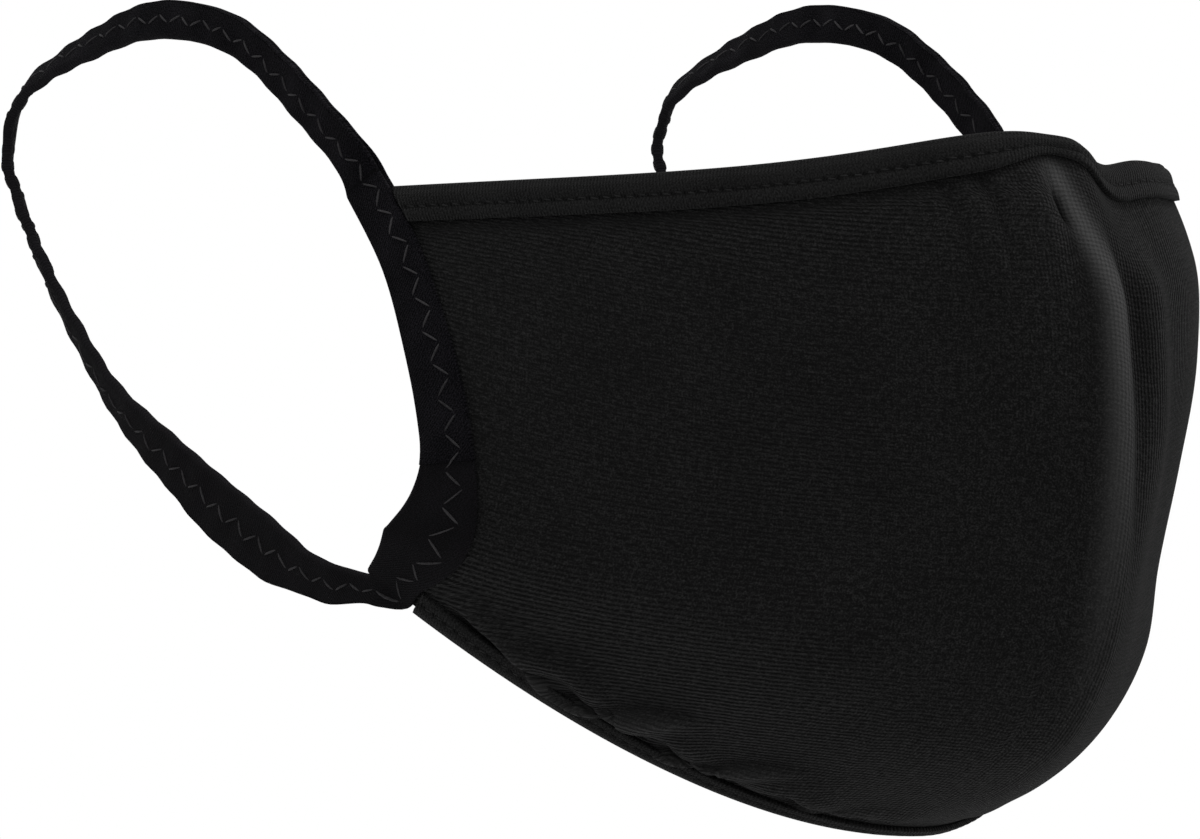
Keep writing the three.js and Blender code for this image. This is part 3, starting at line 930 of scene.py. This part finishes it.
def tapeFinish():
    finish = Finish("loopTape")
    uv, u, v = finish.clothLines()
    wobble = finish.noise(uv, loopTape["wobbleScale"]) * loopTape["wobble"]
    twill = (u + v + wobble).wave(loopTape["rib"]) * (0.7 + 0.4 * (u - v).wave(loopTape["wale"]))
    speck, cloth = lintedCloth(finish, loopTape, uv, twill, loopTape["ground"])
    lower = finish.blend(finish.attribute("lower") * 0.5, cloth, loopTape["low"])
    # The tape is paler toward its fold, and painted shade makes a dark line under the lap
    fold = 1 - v.clamped(0.0, 0.9)
    palerFold = finish.blend(fold * (0.1 + 0.6 * speck), lower, loopTape["paler"])
    lapShade = finish.attribute("lapShade").clamped(0.35, 1.0)
    colour = finish.blend(lapShade * 0.85, palerFold, joinShade)
    return finishCloth(finish, loopTape, colour, twill + speck * 1.5)


def threadFinish(name, look):
    finish = Finish(name)
    place = finish.node("ShaderNodeTexCoord", {}, {}, "Object")
    fibre = finish.noise(place, look["fibreScale"])
    patch = finish.noise(place, look["patchScale"])
    colour = finish.blend(((fibre + patch) * 0.5).clamped(0.3, 0.7), look["base"], look["lint"])
    bump = finish.node("ShaderNodeBump", {}, {"Strength": 0.5, "Distance": look["bump"], "Height": fibre})
    finish.feed({"Base Color": colour, "Normal": bump, "Roughness": look["roughness"],
                 "Sheen Weight": look["sheen"], "Specular IOR Level": look["specular"]})
    return finish.material


def dress(piece, material, slotName, *nodes):
    piece.data.materials.clear()
    piece.data.materials.append(material)
    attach(piece, "root")
    if nodes:
        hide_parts(*nodes)


panel = makePanel()
print("cloth panel", len(panel.data.polygons))
noseEnd = min(freeAcross(side, down) for side in (-1, 1) for down in (0.0, 0.05, 0.1))
chinEnd = min(freeAcross(side, down) for side in (-1, 1) for down in (0.86, 0.9, 0.95, 1.0))
noseEdge = makeHem("noseHem", noseHem, noseEnd)
chinEdge = makeHem("chinHem", chinHem, chinEnd)
noseStitches = makeHemStitches("noseHemStitches", noseHem, noseEnd)
chinStitches = makeHemStitches("chinHemStitches", chinHem, chinEnd)
print("hems and their stitches", len(noseEdge.data.polygons), len(chinEdge.data.polygons))
rightStations, leftStations = loopStations(-1), loopStations(1)
rightLoop = makeLoop("rightEarLoop", rightStations)
leftLoop = makeLoop("leftEarLoop", leftStations)
rightZigzag = makeZigzag("rightLoopStitches", rightStations)
leftZigzag = makeZigzag("leftLoopStitches", leftStations)
print("ear loops and their stitches", len(rightLoop.data.polygons), len(rightZigzag.data.polygons))

hemCloth, tapeCloth = hemFinish(), tapeFinish()
dress(panel, panelFinish(), "panel_cloth", "mask_panel")
dress(noseEdge, hemCloth, "hem_cloth", "nose_binding")
dress(chinEdge, hemCloth, "hem_cloth", "chin_binding")
dress(rightLoop, tapeCloth, "loop_tape", "ear_loop_right")
dress(leftLoop, tapeCloth, "loop_tape", "ear_loop_left")
darkThread, paleThread = threadFinish("hemThread", hemThread), threadFinish("loopThread", loopThread)
for row in (noseStitches, chinStitches):
    dress(row, darkThread, "hem_cloth")
for row in (rightZigzag, leftZigzag):
    dress(row, paleThread, "loop_tape")
print("finishes")

# Studio: pale floor, white surroundings and soft lights
studio = {"floorMiddle": (0, 0.09, -0.32), "floorRadius": 0.9, "ambient": 0.6, "target": (0, 0.03, -0.06)}
lamps = {
    "keyLight": {"spot": (1.5, -0.9, 0.5), "size": 0.7, "power": 9.5},
    "topLight": {"spot": (-0.1, -0.2, 1.6), "size": 1.0, "power": 12.5},
}
# The camera stands at the photo's angle, with aimPoint (in mm) at aimPixel of the picture
photo = {"frame": (1200, 839), "pixelsPerMm": 6.0, "azimuth": math.radians(-40), "distance": 2.5,
         "aimPixel": (740, 140), "aimPoint": (-0.6, 0.85, -0.12), "sensor": 36.0}


def makeFloor():
    emptySelection()
    bpy.ops.mesh.primitive_circle_add(
        vertices=96, radius=studio["floorRadius"], fill_type="NGON", location=studio["floorMiddle"])
    floor = nameNew("studioFloor")
    finish = Finish("paleFloor")
    finish.feed({"Base Color": (0.8, 0.8, 0.8, 1), "Roughness": 0.9})
    floor.data.materials.append(finish.material)


def makeLight(name, lamp):
    emptySelection()
    bpy.ops.object.light_add(type="AREA", location=lamp["spot"])
    light = nameNew(name)
    light.data.size = lamp["size"]
    light.data.energy = lamp["power"]
    toTarget = Vector(studio["target"]) - Vector(lamp["spot"])
    light.rotation_euler = toTarget.to_track_quat("-Z", "Y").to_euler()


def makeCamera():
    azimuth = photo["azimuth"]
    right = Vector((math.cos(azimuth), math.sin(azimuth), 0))
    look = Vector((-math.sin(azimuth), math.cos(azimuth), 0))
    aim = Vector(toFrame(np.array(photo["aimPoint"])))
    wide, high = photo["frame"]
    pixelX, pixelY = photo["aimPixel"]
    pixel = 0.001 / photo["pixelsPerMm"]
    middle = aim + right * (wide / 2 - pixelX) * pixel
    middle.z -= (high / 2 - pixelY) * pixel
    place = aim - look * photo["distance"]
    bpy.ops.object.camera_add(location=place)
    camera = nameNew("photoCamera")
    camera.data.sensor_width = photo["sensor"]
    camera.data.lens = photo["sensor"] * photo["distance"] / pixel / wide
    camera.data.clip_end = 30
    camera.rotation_euler = (middle - place).to_track_quat("-Z", "Y").to_euler()
    bpy.context.scene.camera = camera


def makeSky():
    # White to the camera, softer as light on the cloth
    world = bpy.data.worlds.new("studioWhite")
    bpy.context.scene.world = world
    world.use_nodes = True
    nodes, links = world.node_tree.nodes, world.node_tree.links
    sky = nodes["Background"]
    sky.inputs["Color"].default_value = (1, 1, 1, 1)
    strength = nodes.new("ShaderNodeMapRange")
    strength.inputs["To Min"].default_value = studio["ambient"]
    strength.inputs["To Max"].default_value = 1.0
    links.new(nodes.new("ShaderNodeLightPath").outputs["Is Camera Ray"], strength.inputs["Value"])
    links.new(strength.outputs[0], sky.inputs["Strength"])
    bpy.context.scene.view_settings.view_transform = "Standard"


makeFloor()
makeSky()
makeCamera()
for name, lamp in lamps.items():
    makeLight(name, lamp)
print("studio")
